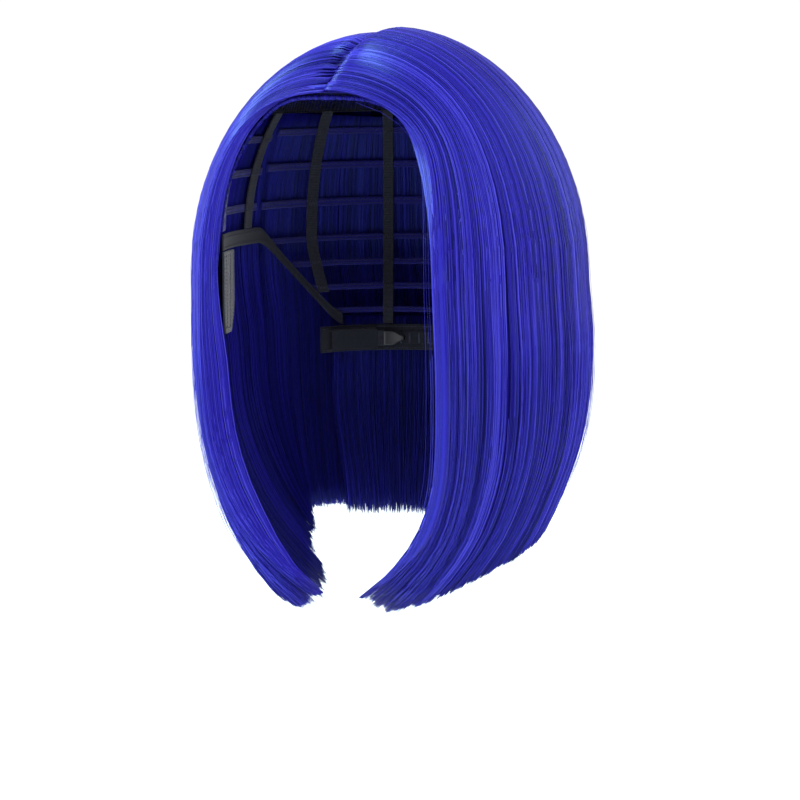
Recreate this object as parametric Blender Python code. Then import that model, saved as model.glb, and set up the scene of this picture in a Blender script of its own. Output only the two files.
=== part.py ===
"""Costume wig: a straight, centre-parted bob on a machine-made wefted cap.

Lengths are in millimetres until they are written to a mesh. The origin is the inner crown of the cap,
+Z is up, the face looks along -Y and the wearer's left is +X. Azimuths run from the front (0) through
the wearer's left (90) to the back (180).
"""

import math

import bmesh
import bpy
from mathutils import Vector

MM = 0.001

# Cap, measured on the surface that touches the head
CAP_HALF = (74.0, 94.0, 95.0)  # half width, half length and crown height
NAPE_RADIUS = 60.0  # round curve the nape band, the tunnels and the straps all follow
NAPE_CENTRE_Y = 14.0
NAPE_START_Z = -142.0  # below this the cap follows the nape curve
DROP_PER_LEVEL = 110.0  # millimetres down for one unit of level below the brow line
FRONT_LEVEL = 0.442  # level of the front edge on the centre line
FRONT_END = (60.0, 0.975)  # azimuth and level where the front edge ends at the temple
NET_LEVEL = 0.55  # lower edge of the crown net
EAR_TAB_AZ = (63.0, 77.0)
EAR_TAB_LEVEL = (1.036, 1.40)
BINDING_AZ = (62.0, 127.0)
BACK_WEFT_LEVELS = (0.64, 0.77, 0.90, 1.03, 1.14, 1.25, 1.36)
SIDE_WEFT_LEVELS = (0.66, 0.78, 0.90)
RIB_AZ = (120.0, 150.0, 180.0, 210.0, 240.0)
NAPE_BAND_Z = (-156.0, -142.6)
NAPE_BAND_ARC = 66.0  # degrees each side of the back

# Adjusters: angles are degrees from the back, about the nape centre
TUNNEL_ARC = (36.0, 62.0)
STRAP_ARC = (28.0, 57.0)
HOOK_ARC = (22.0, 33.0)
LOOP_ARC = (5.0, 24.0)
STRAP_Z = (-153.3, -145.3)
STRAP_R = (57.0, 58.0)
HOOK_R = (55.95, 57.51)  # middle of the hook's plate, and of its prong
HOOK_PLATE = 0.9  # thickness

# Hair, outer surface
HAIR_TOP_Z = 9.0
BULGE_Z = -110.0  # level where the dome ends and the fall begins
DOME_SHIFT = 3.0  # how far back the dome's centre sits at the crown
HAIR_LEVELS = (  # z, half width, half length, centre's distance back
    (-110.0, 93.0, 112.0, 7.5),
    (-150.0, 94.0, 114.0, 11.0),
    (-190.0, 90.5, 108.5, 11.0),
    (-225.0, 80.0, 95.5, 7.5),
    (-250.0, 69.2, 82.0, 5.0),
    (-268.0, 62.5, 72.0, 5.0),
)
PART_Y = (-70.0, 22.0)  # the part runs from the hairline to the crown
PART_HALF_GAP = 1.0
WHORL_RADIUS = 4.0
CROWN_SHARE = 0.5  # share of the strands that leave the part itself; the rest fan from the crown
HAIR_ROWS = 20
FALL_START = 0.36  # share of a strand's length that lies on the dome
LOCK_AZ = 41.0  # azimuth of the face-framing edge
LOCK_TURN = 28.0  # how far the front lock's tip turns in toward the chin
LOCK_LATE = 2.6  # power of that turn: it comes mostly near the tip
LOCK_FROM = 0.45  # share of the fall where the turn starts
LOCK_IN = (16.0, 4.5)  # how far the front lock's tip curls in toward the neck, and how late
INNER_CURL = (14.0, 2.0)  # the same for the inner hair behind it
INNER_LAYER = 0.42  # layers below this belong to the inner hair
TIP_Z = ((0.0, -259.0), (0.07, -266.0), (0.2, -257.0), (0.35, -244.0), (0.5, -238.0), (1.0, -242.0))
FLESH = (14.5, 13.5)  # hair thickness at the sides and at the front and back

CAP_BLACK = (0.012, 0.013, 0.022)
HAIR_BLUE = (0.016, 0.011, 0.38)
HAIR_DEEP = (0.010, 0.007, 0.24)


def smooth(x):
    x = min(1.0, max(0.0, x))
    return x * x * (3.0 - 2.0 * x)


def lerp(a, b, t):
    return a + (b - a) * t


def spread(rows, x):
    """Value of a smooth curve through rows (x, y, ...) at x, as a tuple of the y columns."""
    rows = sorted(rows)
    x = min(rows[-1][0], max(rows[0][0], x))
    i = max(k for k in range(len(rows) - 1) if rows[k][0] <= x)
    x0, x1 = rows[i][0], rows[i + 1][0]
    t = (x - x0) / (x1 - x0)
    out = []
    for c in range(1, len(rows[0])):
        def slope(k):
            lo, hi = max(0, k - 1), min(len(rows) - 1, k + 1)
            return (rows[hi][c] - rows[lo][c]) / (rows[hi][0] - rows[lo][0])

        m0, m1 = slope(i) * (x1 - x0), slope(i + 1) * (x1 - x0)
        y0, y1 = rows[i][c], rows[i + 1][c]
        a, b = t * t * (3 - 2 * t), t * (1 - t)
        out.append(lerp(y0, y1, a) + b * ((1 - t) * m0 - t * m1))
    return tuple(out)


# Head and cap surfaces


def head_point(az, level):
    """Point on the inside of the cap: level 0 is the crown, 1 the brow line, above 1 runs down."""
    half_x, half_y, half_z = CAP_HALF
    a = math.radians(az)
    if level <= 1.0:
        tilt = math.radians(90.0 * level)
        ring = math.sin(tilt)
        x, y = half_x * ring * math.sin(a), -half_y * ring * math.cos(a)
        return Vector((x, y, half_z * (math.cos(tilt) - 1)))
    z = -half_z - (level - 1.0) * DROP_PER_LEVEL
    off_front = abs((az + 180.0) % 360.0 - 180.0)
    w = smooth((-half_z - z) / (-half_z - NAPE_START_Z)) * smooth((off_front - 75.0) / 55.0)
    rx, ry = lerp(half_x, NAPE_RADIUS, w), lerp(half_y, NAPE_RADIUS, w)
    return Vector((rx * math.sin(a), NAPE_CENTRE_Y * w - ry * math.cos(a), z))


def cap_point(az, level, lift):
    """Point lifted off the inside of the cap along the surface normal."""
    level = max(level, 1e-4)
    p = head_point(az, level)
    across = head_point(az + 0.5, level) - head_point(az - 0.5, level)
    down = head_point(az, level + 0.004) - head_point(az, level - 0.004)
    n = down.cross(across).normalized()
    if n.dot(Vector((p.x, p.y, p.z + CAP_HALF[2]))) < 0:
        n = -n
    return p + n * lift


def crown_point(x, y, lift):
    """Point over the crown at plan position x, y, lifted off the inside of the cap."""
    hx, hy, hz = CAP_HALF
    z = hz * (math.sqrt(1 - (x / hx) ** 2 - (y / hy) ** 2) - 1)
    n = Vector((x / hx**2, y / hy**2, (z + hz) / hz**2)).normalized()
    return Vector((x, y, z)) + n * lift


def nape_point(arc, radius, z):
    """Point on the nape curve, arc in degrees from the back toward the wearer's left."""
    a = math.radians(arc)
    return Vector((radius * math.sin(a), NAPE_CENTRE_Y + radius * math.cos(a), z))


# Hair surfaces


def strand_azimuth(q):
    return lerp(LOCK_AZ, 179.6, q)


def strand_root(q):
    """Where strand q leaves the part or the crown whorl, on the unit dome, and the way it leaves."""
    _, half_x, half_y, _ = HAIR_LEVELS[0]
    turn = 90.0 + 90.0 * max(0.0, (q - CROWN_SHARE) / (1 - CROWN_SHARE))
    way = Vector((math.sin(math.radians(turn)), -math.cos(math.radians(turn)), 0.0))
    y = lerp(PART_Y[0], PART_Y[1], min(1.0, q / CROWN_SHARE)) - DOME_SHIFT
    x = PART_HALF_GAP
    if q > CROWN_SHARE:
        x += WHORL_RADIUS * (way.x - 1.0) * 0.5
        x = max(PART_HALF_GAP * 0.6, x)
        y += WHORL_RADIUS * way.y
    x, y = x / half_x, y / half_y
    return Vector((x, y, math.sqrt(1 - x * x - y * y))), way


def dome_way(q, t):
    """Unit direction of strand q over the dome, t from 0 at the root to 1 at the bulge."""
    start, way = strand_root(q)
    az = math.radians(strand_azimuth(q))
    end = Vector((math.sin(az), -math.cos(az), 0.0))
    c1, c2 = start + way * 0.70, end + Vector((0, 0, 0.60))
    s = 1 - t
    return (start * s**3 + c1 * (3 * s * s * t) + c2 * (3 * s * t * t) + end * t**3).normalized()


def hair_point(q, t, layer):
    """Point in the hair: q from the face edge to the back, t root to tip, layer 0 inside to 1 outside."""
    _, half_x, half_y, shift = HAIR_LEVELS[0]
    if t < FALL_START:
        d = dome_way(q, t / FALL_START)
        centre = lerp(DOME_SHIFT, shift, 1 - d.z)
        outer = Vector((half_x * d.x, centre + half_y * d.y, BULGE_Z + (HAIR_TOP_Z - BULGE_Z) * d.z))
        cx, cy, cz = CAP_HALF
        core = Vector(((cx + 3.5) * d.x, (cy + 3.5) * d.y, -cz + (cz + 2.9) * d.z))
        return core.lerp(outer, layer)
    fall = (t - FALL_START) / (1 - FALL_START)
    tip = spread(TIP_Z, q)[0]
    late = max(0.0, fall - LOCK_FROM) / (1 - LOCK_FROM)
    a = math.radians(strand_azimuth(q) - LOCK_TURN * max(0.0, 1 - 2 * q) ** 2 * late**LOCK_LATE)
    z = lerp(BULGE_Z, tip, fall)
    rx, ry, shift = spread(HAIR_LEVELS, z)
    curl = LOCK_IN[0] * max(0.0, 1 - 2 * q) ** 2 * late ** LOCK_IN[1]
    if layer < INNER_LAYER:
        curl += INNER_CURL[0] * smooth(q / 0.2) * smooth((0.55 - q) / 0.2) * late ** INNER_CURL[1]
    rx, ry = rx - curl, ry - curl
    outer = Vector((rx * math.sin(a), shift - ry * math.cos(a), z))
    inner_shift = shift * smooth(fall / 0.35)
    z = lerp(-CAP_HALF[2], tip, fall)
    core = Vector(((rx - FLESH[0]) * math.sin(a), inner_shift - (ry - FLESH[1]) * math.cos(a), z))
    return core.lerp(outer, layer)


# Builders


def material(name, colour, roughness):
    mat = bpy.data.materials.new(name)
    mat.use_nodes = True
    bsdf = mat.node_tree.nodes["Principled BSDF"]
    bsdf.inputs["Base Color"].default_value = (*colour, 1.0)
    bsdf.inputs["Roughness"].default_value = roughness
    bsdf.inputs["Metallic"].default_value = 0.0
    mat.diffuse_color = (*colour, 1.0)
    return mat


def finish(name, mesh, look):
    obj = bpy.data.objects.new(name, mesh)
    obj.data.name = name
    obj.data.materials.append(material(name, *look))
    bpy.data.collections["costume_wig"].objects.link(obj)
    return obj


def outward(bm, mesh):
    """Write the closed body to the mesh with every face pointing out."""
    bmesh.ops.recalc_face_normals(bm, faces=bm.faces)
    if bm.calc_volume(signed=True) < 0:
        bmesh.ops.reverse_faces(bm, faces=bm.faces)
    bm.to_mesh(mesh)
    bm.free()
    return mesh


def slab(name, look, at, across, along):
    """Closed slab: at(u, v, w) places it, u and v over the sheet, w through its thickness."""
    bm = bmesh.new()
    bmesh.ops.create_grid(bm, x_segments=across, y_segments=along, size=0.5)
    top = bmesh.ops.extrude_face_region(bm, geom=list(bm.faces))
    raised = [e for e in top["geom"] if isinstance(e, bmesh.types.BMVert)]
    bmesh.ops.translate(bm, vec=(0, 0, 1), verts=raised)
    for vert in bm.verts:
        u, v, w = vert.co.x + 0.5, vert.co.y + 0.5, vert.co.z
        vert.co = at(min(1.0, max(0.0, u)), min(1.0, max(0.0, v)), w) * MM
    mesh = bpy.data.meshes.new(name)
    return finish(name, outward(bm, mesh), look)


def mirrored(point, side):
    return Vector((point.x * side, point.y, point.z))


def each_side():
    return (("left", 1.0), ("right", -1.0))


# Cap


def front_edge(az):
    """Level of the cap's front edge, which stays just behind the hair."""
    return FRONT_LEVEL + (FRONT_END[1] - FRONT_LEVEL) * (abs(az) / FRONT_END[0]) ** 4


def build_net():
    def at(u, v, w):
        x, y = 2 * u - 1, 2 * v - 1
        dx, dy = x * math.sqrt(1 - y * y / 2), y * math.sqrt(1 - x * x / 2)
        reach = min(1.0, math.hypot(dx, dy))
        az = math.degrees(math.atan2(dx, -dy))
        edge = min(NET_LEVEL, front_edge(min(60.0, abs(az))) - 0.088)
        return cap_point(az, reach * edge, 0.8 * w)

    slab("crown_net", (CAP_BLACK, 0.85), at, 14, 14)


def build_parting_strip():
    def at(u, v, w):
        x = lerp(-13.0, 13.0, u)
        return crown_point(x, lerp(-57.0 + 0.012 * x * x, 27.0 - 0.02 * x * x, v), lerp(1.35, 2.05, w))

    slab("parting_strip", ((0.05, 0.04, 0.10), 0.7), at, 6, 14)


def build_front_band():
    """Folded band that follows the front edge and turns down the temples."""

    def at(u, v, w):
        az = lerp(-59.5, 59.5, u)
        steep = smooth((abs(az) - 25.0) / 30.0)
        inward = math.copysign(7.0 * v * steep, az)
        return cap_point(az + inward, front_edge(az) - 0.075 * v * (1 - steep), 0.9 * w)

    slab("front_band", (HAIR_DEEP, 0.7), at, 30, 2)


def build_front_piping():
    """Rolled edge in front of the band, where the cap ends over the forehead."""
    curve = bpy.data.curves.new("front_piping", "CURVE")
    curve.dimensions = "3D"
    curve.bevel_depth = 1.0 * MM
    curve.bevel_resolution = 1
    curve.use_fill_caps = True
    count = 37
    spline = curve.splines.new("POLY")
    spline.points.add(count - 1)
    for i in range(count):
        az = lerp(-59.0, 59.0, i / (count - 1))
        steep = smooth((abs(az) - 25.0) / 30.0)
        outward_az = math.copysign(2.6 * steep, az)
        p = cap_point(az - outward_az, front_edge(az) + 0.026 * (1 - steep), 1.0) * MM
        spline.points[i].co = (*p, 1.0)
    source = bpy.data.objects.new("front_piping_curve", curve)
    mesh = bpy.data.meshes.new_from_object(source)
    bpy.data.objects.remove(source)
    bm = bmesh.new()
    bm.from_mesh(mesh)
    bmesh.ops.remove_doubles(bm, verts=bm.verts, dist=1e-6)
    finish("front_piping", outward(bm, mesh), (HAIR_DEEP, 0.6))


def binding_level(az):
    return 0.998 + 0.40 * smooth((az - 94.0) / 34.0)


def build_ear_pieces(word, side):
    def binding(u, v, w):
        az = lerp(*BINDING_AZ, u)
        return mirrored(cap_point(az, binding_level(az) + lerp(-0.030, 0.030, v), 0.9 * w), side)

    def tab(u, v, w, share=1.0, lift=(0.0, 1.0), length=(0.0, 1.0)):
        v = lerp(*length, v)
        width = share * math.sqrt(1 - 0.75 * max(0.0, (v - 0.55) / 0.45) ** 2)
        mid, half = sum(EAR_TAB_AZ) / 2, (EAR_TAB_AZ[1] - EAR_TAB_AZ[0]) / 2
        az = mid + half * width * (2 * u - 1)
        return mirrored(cap_point(az, lerp(*EAR_TAB_LEVEL, v), lerp(*lift, w)), side)

    def stay(u, v, w):
        return tab(u, v, w, share=0.26, lift=(1.35, 2.05), length=(0.06, 0.88))

    slab(f"ear_binding_{word}", (CAP_BLACK, 0.7), binding, 20, 1)
    slab(f"ear_tab_{word}", ((0.020, 0.021, 0.034), 0.8), tab, 4, 8)
    slab(f"ear_stay_{word}", ((0.30, 0.31, 0.33), 0.4), stay, 1, 8)


def build_rib(name, az, levels, width=6.0):
    def at(u, v, w):
        level = lerp(*levels, v)
        p = head_point(az, level)
        reach = math.hypot(p.x, p.y - NAPE_CENTRE_Y * smooth(level - 1.0))
        return cap_point(az + math.degrees(width / reach) * (u - 0.5), level, 0.8 * w)

    slab(name, (CAP_BLACK, 0.65), at, 2, 12)


def build_ribs():
    for i, az in enumerate(RIB_AZ):
        end = 1.265 if abs(az - 180.0) > 50.0 else 1.42
        build_rib(f"back_rib_{i + 1}", az, (NET_LEVEL + 0.014, end))
    for word, side in each_side():
        build_rib(f"side_rib_{word}", 88.0 * side, (NET_LEVEL + 0.014, 0.960))


def build_wefts():
    def row(name, level, start, end, segments):
        def at(u, v, w):
            return cap_point(lerp(start, end, u), level + lerp(-0.013, 0.013, v), lerp(1.4, 2.6, w))

        slab(name, (HAIR_DEEP, 0.7), at, segments, 1)

    for i, level in enumerate(BACK_WEFT_LEVELS):
        start = 97.0 + max(0.0, level - 1.0) / 0.4 * 28.0
        row(f"back_weft_{i + 1}", level, start, 360.0 - start, 24)
    for word, side in each_side():
        for i, level in enumerate(SIDE_WEFT_LEVELS):
            near = 50.0 + 6.5 * i
            row(f"side_weft_{word}_{i + 1}", level, near * side, 94.0 * side, 8)


# Nape and adjusters


def build_nape_band():
    def at(u, v, w):
        return nape_point(lerp(-NAPE_BAND_ARC, NAPE_BAND_ARC, u), lerp(59.8, 61.0, w), lerp(*NAPE_BAND_Z, v))

    slab("nape_band", (CAP_BLACK, 0.7), at, 34, 1)


def build_adjuster(word, side):
    def tunnel(u, v, w):
        """Channel open toward the band: flange, web, flange."""
        outline = ((0, 1), (0, 0), (1, 0), (1, 1))
        radial, height = outline[round(u * 3)][1], outline[round(u * 3)][0]
        wall = 0.6 * (1 - w)
        radius = lerp(56.0 + 0.6 * w, 59.4, radial)
        z = lerp(STRAP_Z[0] - 0.5 - wall, STRAP_Z[1] + 0.5 + wall, height)
        return mirrored(nape_point(lerp(*TUNNEL_ARC, v), radius, z), side)

    def strap(u, v, w):
        return mirrored(nape_point(lerp(*STRAP_ARC, v), lerp(*STRAP_R, w), lerp(*STRAP_Z, u)), side)

    def hook(u, v, w):
        """Flat plate behind the strap's end that narrows to a prong folded back on itself."""
        back, front = HOOK_R
        mid, turn = (back + front) / 2, (front - back) / 2
        tip = HOOK_ARC[0] + 0.7
        bend = [(tip - turn * math.sin(a), mid - turn * math.cos(a)) for a in (0.8, 1.57, 2.34)]
        path = [(HOOK_ARC[1], back), (27.0, back), (24.0, back), *bend, (24.0, front), (26.2, front)]
        tall = (7.6, 7.0, 3.0, 2.4, 2.4, 2.4, 2.4, 2.0)
        i = round(v * (len(path) - 1))
        (a0, r0), (a1, r1) = path[max(0, i - 1)], path[min(len(path) - 1, i + 1)]
        run = math.hypot(a1 - a0, r1 - r0)
        out = HOOK_PLATE * (w - 0.5) / run
        arc, radius = path[i][0] + (r1 - r0) * out, path[i][1] - (a1 - a0) * out
        height = sum(STRAP_Z) / 2 + tall[i] * (u - 0.5)
        return mirrored(nape_point(arc, radius, height), side)

    def loops(u, v, w):
        """Tape with raised bars for the hook."""
        bar = 0.5 + 0.5 * math.cos(2 * math.pi * 4 * v)
        inner = 59.05 - 0.55 * bar
        return mirrored(nape_point(lerp(*LOOP_ARC, v), lerp(inner, 59.45, w), lerp(-152.6, -146.0, u)), side)

    slab(f"strap_tunnel_{word}", (CAP_BLACK, 0.75), tunnel, 3, 8)
    slab(f"adjuster_strap_{word}", ((0.03, 0.03, 0.045), 0.7), strap, 1, 9)
    slab(f"adjuster_hook_{word}", ((0.015, 0.015, 0.018), 0.35), hook, 1, 7)
    slab(f"hook_loops_{word}", (CAP_BLACK, 0.7), loops, 1, 16)


# Hair


def hair_row(row):
    """Share of the strand's length at a row; rows crowd toward the root."""
    whole = min(HAIR_ROWS - 1, int(row))
    ends = [(i / HAIR_ROWS) ** 1.25 for i in (whole, whole + 1)]
    return lerp(*ends, row - whole)


def hair_panel(name, side, q_range, rows, layers, look, across=5, groove=0.0):
    def at(u, v, w):
        count = math.ceil(rows[1]) - rows[0]
        t = hair_row(min(rows[1], rows[0] + round(v * count)))
        layer = lerp(*layers, w)
        if w > 0.5:
            layer -= groove * math.exp(-((t / 0.03) ** 2))
        return mirrored(hair_point(lerp(*q_range, u), t, layer), side)

    slab(name, look, at, across, math.ceil(rows[1]) - rows[0])


def build_hair(word, side):
    seam = 0.0016
    first, second = 0.20, 0.47
    outer, under = (0.46, 1.0), (0.07, 0.38)
    blue, deep = (HAIR_BLUE, 0.38), (HAIR_DEEP, 0.42)
    full, fall = (0, HAIR_ROWS), (5, HAIR_ROWS - 0.4)
    hair_panel(f"front_hair_{word}", side, (0.0, first - seam), full, outer, blue, groove=0.30)
    hair_panel(f"side_hair_{word}", side, (first + seam, second - seam), full, outer, blue, groove=0.30)
    hair_panel(f"back_hair_{word}", side, (second + seam, 1.0), full, outer, blue, across=8, groove=0.30)
    first, second = 0.26, 0.60
    hair_panel(f"under_front_{word}", side, (0.035, first - seam), fall, under, deep)
    hair_panel(f"under_side_{word}", side, (first + seam, second - seam), fall, under, deep)
    hair_panel(f"under_back_{word}", side, (second + seam, 1.0), fall, under, deep, across=7)

    def nape(u, v, w):
        z = lerp(-140.5, -238.0, v)
        inner = 63.4 - 16.0 * smooth((v - 0.35) / 0.65)
        return mirrored(nape_point(lerp(0.5, 52.0, u), inner + 13.5 * w, z), side)

    slab(f"nape_hair_{word}", deep, nape, 6, 8)


def main():
    for obj in list(bpy.data.objects):
        bpy.data.objects.remove(obj, do_unlink=True)
    bpy.context.scene.collection.children.link(bpy.data.collections.new("costume_wig"))
    build_net()
    build_parting_strip()
    build_front_band()
    build_front_piping()
    build_ribs()
    build_wefts()
    build_nape_band()
    for word, side in each_side():
        build_ear_pieces(word, side)
        build_adjuster(word, side)
        build_hair(word, side)


main()
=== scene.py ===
"""Costume wig: the visual model. Lengths are millimetres until a mesh is written, in the CAD's frame."""
import math

import bpy
import numpy as np
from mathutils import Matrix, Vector


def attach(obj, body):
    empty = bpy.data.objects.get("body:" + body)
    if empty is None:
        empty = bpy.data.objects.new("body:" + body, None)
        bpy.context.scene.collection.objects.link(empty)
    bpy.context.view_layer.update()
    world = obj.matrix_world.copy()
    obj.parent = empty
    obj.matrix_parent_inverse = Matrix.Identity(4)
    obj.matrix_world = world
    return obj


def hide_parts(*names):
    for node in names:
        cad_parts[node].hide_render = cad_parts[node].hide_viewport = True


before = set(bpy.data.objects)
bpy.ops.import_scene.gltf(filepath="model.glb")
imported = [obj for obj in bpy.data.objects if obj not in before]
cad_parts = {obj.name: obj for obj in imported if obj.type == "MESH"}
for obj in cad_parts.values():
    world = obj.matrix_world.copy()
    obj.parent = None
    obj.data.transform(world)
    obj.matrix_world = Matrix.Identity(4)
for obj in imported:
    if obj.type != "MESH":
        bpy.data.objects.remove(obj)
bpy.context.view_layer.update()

MM = 0.001
scene = bpy.context.scene
scene.view_settings.view_transform = "Standard"
SIDES = (("left", 1.0), ("right", -1.0))

# The cap's shape, as the part is built
CAP_HALF = np.array([74.0, 94.0, 95.0])
NAPE_RADIUS, NAPE_CENTRE_Y, NAPE_START_Z = 60.0, 14.0, -142.0
DROP_PER_LEVEL = 110.0
FRONT_LEVEL, FRONT_END = 0.442, (60.0, 0.975)
NET_LEVEL = 0.55
EAR_TAB_AZ, EAR_TAB_LEVEL = (63.0, 77.0), (1.036, 1.40)
BINDING_AZ = (62.0, 127.0)
BACK_WEFT_LEVELS = (0.64, 0.77, 0.90, 1.03, 1.14, 1.25, 1.36)
SIDE_WEFT_LEVELS = (0.66, 0.78, 0.90)
RIB_AZ = (120.0, 150.0, 180.0, 210.0, 240.0)
NAPE_BAND_Z, NAPE_BAND_ARC = (-156.0, -142.6), 66.0
TUNNEL_ARC, STRAP_ARC, HOOK_ARC, LOOP_ARC = (36.0, 62.0), (28.0, 57.0), (22.0, 33.0), (5.0, 24.0)
STRAP_Z, STRAP_R, HOOK_R = (-153.3, -145.3), (57.0, 58.0), (55.95, 57.51)
HOOK_PLATE = 0.9  # thickness

# The hair's shape, as the part is built
BULGE_Z, DOME_SHIFT = -110.0, 3.0
HAIR_TOP_Z, CROWN_LEAN = 7.8, 1.2  # the crown stands this much higher on the wearer's left
HAIR_LEVELS = np.array([  # z, half width, half length, centre's distance back
    (-268.0, 62.5, 72.0, 5.0),
    (-250.0, 69.2, 82.0, 5.0),
    (-225.0, 80.0, 95.5, 7.5),
    (-190.0, 90.5, 108.5, 11.0),
    (-150.0, 94.0, 114.0, 11.0),
    (-110.0, 93.0, 112.0, 7.5),
])
PART_Y = (-70.0, 22.0)
PART_HALF_GAP, WHORL_RADIUS, CROWN_SHARE = 0.55, 4.0, 0.5
BACK_OVERLAP = 1.1  # how far the two sides mingle at the centre of the back
FALL_START, LOCK_AZ = 0.36, 41.0
BACK_AZ = 179.6
ROOT_REACH, FALL_REACH = 0.70, 0.60  # how far a strand keeps to its root's way, and to the fall's
BEND_START = 0.45  # share of the fall where the ends begin to turn
LOCK_TURN = {1.0: (27.0, 4.2), -1.0: (28.0, 1.9)}  # turn of each front lock's tip, and how late it comes
TIP_Z = np.array([(0.0, -259.0), (0.07, -266.0), (0.2, -257.0), (0.35, -244.0), (0.5, -238.0), (1.0, -242.0)])
FLESH = (14.5, 13.5)
LOCK_IN = (16.0, 4.5)  # how far the front lock's tip curls in toward the neck, and how late
INNER_CURL = (20.0, 2.0)  # the same for the inner hair behind it
LONGER = {1.0: 0.0, -1.0: 4.0}  # the wearer's right hangs this much lower just behind the face edge


def smooth(x):
    x = np.clip(x, 0.0, 1.0)
    return x * x * (3.0 - 2.0 * x)


def lerp(a, b, t):
    return a + (b - a) * t


def unit(v):
    return v / np.maximum(1e-9, np.linalg.norm(v, axis=-1, keepdims=True))


def bell(x, width):
    return np.exp(-((x / width) ** 2))


def spread(rows, x):
    """Smooth curve through rows (x, y, ...), evaluated at x: one output array per y."""
    x = np.clip(x, rows[0, 0], rows[-1, 0])
    i = np.clip(np.searchsorted(rows[:, 0], x, side="right") - 1, 0, len(rows) - 2)
    step = rows[i + 1, 0] - rows[i, 0]
    t = (x - rows[i, 0]) / step
    out = []
    for c in range(1, rows.shape[1]):
        def slope(k):
            lo, hi = np.maximum(0, k - 1), np.minimum(len(rows) - 1, k + 1)
            return (rows[hi, c] - rows[lo, c]) / (rows[hi, 0] - rows[lo, 0])

        a, b = t * t * (3 - 2 * t), t * (1 - t)
        out.append(lerp(rows[i, c], rows[i + 1, c], a) + b * step * ((1 - t) * slope(i) - t * slope(i + 1)))
    return out


def points(*xyz):
    return np.stack(np.broadcast_arrays(*xyz), -1)


# Cap surfaces


def head_point(az, level):
    """Inside of the cap: level 0 is the crown, 1 the brow line, above 1 runs down."""
    az, level = np.broadcast_arrays(np.asarray(az, float), np.asarray(level, float))
    half_x, half_y, half_z = CAP_HALF
    a, tilt = np.radians(az), np.radians(90.0 * np.clip(level, 0, 1))
    ring = np.sin(tilt)
    top = points(half_x * ring * np.sin(a), -half_y * ring * np.cos(a), half_z * (np.cos(tilt) - 1))
    z = -half_z - (level - 1.0) * DROP_PER_LEVEL
    off_front = np.abs((az + 180.0) % 360.0 - 180.0)
    w = smooth((-half_z - z) / (-half_z - NAPE_START_Z)) * smooth((off_front - 75.0) / 55.0)
    rx, ry = lerp(half_x, NAPE_RADIUS, w), lerp(half_y, NAPE_RADIUS, w)
    low = points(rx * np.sin(a), NAPE_CENTRE_Y * w - ry * np.cos(a), z)
    return np.where((level <= 1)[..., None], top, low)


def cap_point(az, level, lift):
    """Point lifted off the inside of the cap along its normal."""
    level = np.maximum(level, 1e-3)
    p = head_point(az, level)
    across = head_point(az + 0.5, level) - head_point(az - 0.5, level)
    down = head_point(az, level + 0.001) - head_point(az, level - 0.001)
    n = unit(np.cross(down, across))
    away = np.sign((n * (p + np.array([0, 0, CAP_HALF[2]]))).sum(-1, keepdims=True))
    return p + n * away * np.asarray(lift, float)[..., None]


def crown_point(x, y, lift):
    hx, hy, hz = CAP_HALF
    z = hz * (np.sqrt(1 - (x / hx) ** 2 - (y / hy) ** 2) - 1)
    away = unit(points(x / hx**2, y / hy**2, (z + hz) / hz**2))
    return points(x, y, z) + away * np.asarray(lift, float)[..., None]


def nape_point(arc, radius, z):
    """Point on the nape curve, arc in degrees from the back toward the wearer's left."""
    a = np.radians(arc)
    return points(radius * np.sin(a), NAPE_CENTRE_Y + radius * np.cos(a), z)


def front_edge(az):
    return FRONT_LEVEL + (FRONT_END[1] - FRONT_LEVEL) * (np.abs(az) / FRONT_END[0]) ** 4


def mirror(p, side):
    return p * np.array([side, 1.0, 1.0])


# Hair surfaces


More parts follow.
